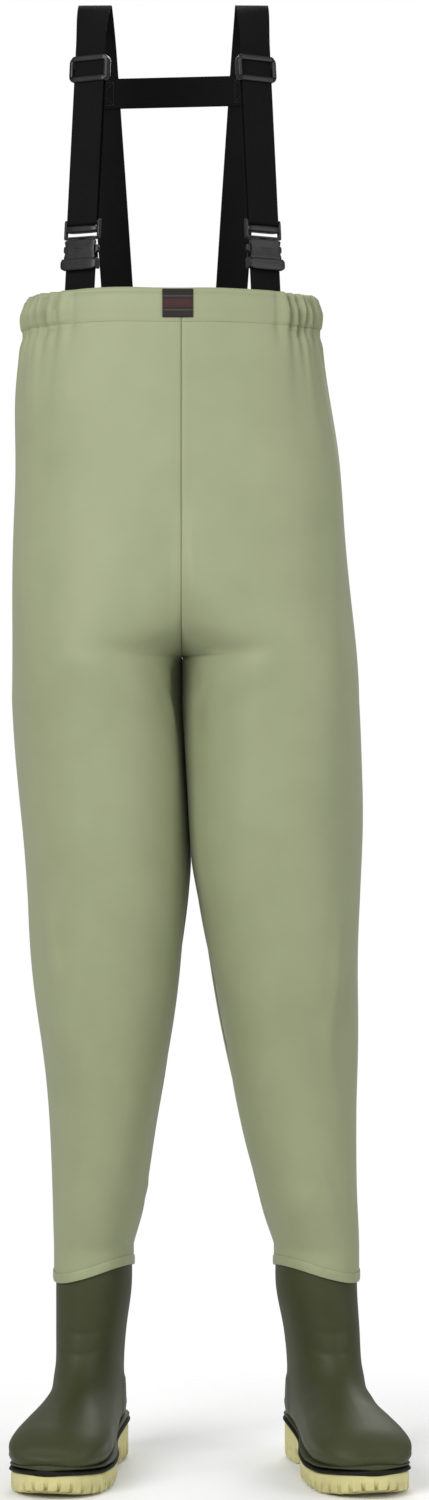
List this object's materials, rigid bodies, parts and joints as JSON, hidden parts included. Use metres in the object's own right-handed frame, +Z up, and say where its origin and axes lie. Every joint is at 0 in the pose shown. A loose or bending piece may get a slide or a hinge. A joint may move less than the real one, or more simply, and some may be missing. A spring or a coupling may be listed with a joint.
{
  "type": "chest waders",
  "caption": "Chest-high fishing waders: coated-fabric legs and bib welded to moulded boots, hung from webbing shoulder straps with sliders and side-release buckles.",
  "frame": {"origin": "on the floor, under the middle of the whole waders' box", "axes": "+Z up; the wearer faces -Y; +X is the wearer's left"},
  "size_m": [0.4516, 0.3592, 1.6778],
  "materials": {
    "coated_fabric": "smooth coated polyester-nylon, satin",
    "facing": "inside of the coated fabric, duller",
    "seam_tape": "welded seam tape, satin",
    "elastic": "knitted elastic band",
    "label": null,
    "boot_pvc": "moulded PVC, dark olive, soft gloss",
    "weld": "welded edge",
    "rand": "moulded rand, nearly black",
    "outsole": "moulded sole, cream yellow",
    "insole": "felted insole",
    "webbing": "black woven webbing",
    "buckle_plastic": "black moulded acetal, satin"
  },
  "bodies": {
    "garment": {"shell_left": "coated_fabric", "chest_elastic_left": "elastic", "leg_seam_tape_left": "seam_tape", "weld_band_left": "weld", "boot_upper_left": "boot_pvc", "insole_left": "insole", "rand_left": "rand", "outsole_left": "outsole", "back_strap_left": "webbing", "anchor_webbing_left": "webbing", "buckle_socket_left": "buckle_plastic", "shell_right": "coated_fabric", "chest_elastic_right": "elastic", "leg_seam_tape_right": "seam_tape", "weld_band_right": "weld", "boot_upper_right": "boot_pvc", "insole_right": "insole", "rand_right": "rand", "outsole_right": "outsole", "back_strap_right": "webbing", "anchor_webbing_right": "webbing", "buckle_socket_right": "buckle_plastic", "chest_facing": "facing", "chest_label": "label", "front_seam_tape": "seam_tape", "back_seam_tape": "seam_tape", "cross_strap": "webbing"},
    "strap_left": {"front_webbing_left": "webbing", "return_webbing_left": "webbing", "buckle_plug_left": "buckle_plastic"},
    "adjuster_left": {"slider_left": "buckle_plastic"},
    "arm_outer_left": {"buckle_arm_outer_left": "buckle_plastic"},
    "arm_inner_left": {"buckle_arm_inner_left": "buckle_plastic"},
    "strap_right": {"front_webbing_right": "webbing", "return_webbing_right": "webbing", "buckle_plug_right": "buckle_plastic"},
    "adjuster_right": {"slider_right": "buckle_plastic"},
    "arm_outer_right": {"buckle_arm_outer_right": "buckle_plastic"},
    "arm_inner_right": {"buckle_arm_inner_right": "buckle_plastic"}
  },
  "joints": [
    {"name": "buckle_release_left", "type": "slide", "parent": "garment", "child": "strap_left", "axis": [-0.0458, 0.1016, 0.9938], "range_m": [0, 0.04]},
    {"name": "slider_adjust_left", "type": "slide", "parent": "strap_left", "child": "adjuster_left", "axis": [-0.0458, 0.1016, 0.9938], "range_m": [-0.11, 0.008], "deforming": ["return_webbing_left"]},
    {"name": "arm_press_outer_left", "type": "hinge", "parent": "strap_left", "child": "arm_outer_left", "pos_m": [0.07568, -0.04091, 1.39928], "axis": [-0.4886, 0.8654, -0.111], "range_deg": [0, 8], "stiffness_Nm_per_rad": 0.05},
    {"name": "arm_press_inner_left", "type": "hinge", "parent": "strap_left", "child": "arm_inner_left", "pos_m": [0.04866, -0.05612, 1.39959], "axis": [0.4886, -0.8654, 0.111], "range_deg": [0, 8], "stiffness_Nm_per_rad": 0.05},
    {"name": "buckle_release_right", "type": "slide", "parent": "garment", "child": "strap_right", "axis": [0.0461, 0.0951, 0.9944], "range_m": [0, 0.04]},
    {"name": "slider_adjust_right", "type": "slide", "parent": "strap_right", "child": "adjuster_right", "axis": [0.0461, 0.0951, 0.9944], "range_m": [-0.11, 0.008], "deforming": ["return_webbing_right"]},
    {"name": "arm_press_outer_right", "type": "hinge", "parent": "strap_right", "child": "arm_outer_right", "pos_m": [-0.15595, -0.03984, 1.39942], "axis": [-0.4625, -0.8803, 0.1056], "range_deg": [0, 8], "stiffness_Nm_per_rad": 0.05},
    {"name": "arm_press_inner_right", "type": "hinge", "parent": "strap_right", "child": "arm_inner_right", "pos_m": [-0.1285, -0.05425, 1.39952], "axis": [0.4625, 0.8803, -0.1056], "range_deg": [0, 8], "stiffness_Nm_per_rad": 0.05}
  ],
  "couplings": [
    {"joint": "arm_press_inner_left", "follows": "arm_press_outer_left", "ratio": 1},
    {"joint": "arm_press_inner_right", "follows": "arm_press_outer_right", "ratio": 1}
  ]
}
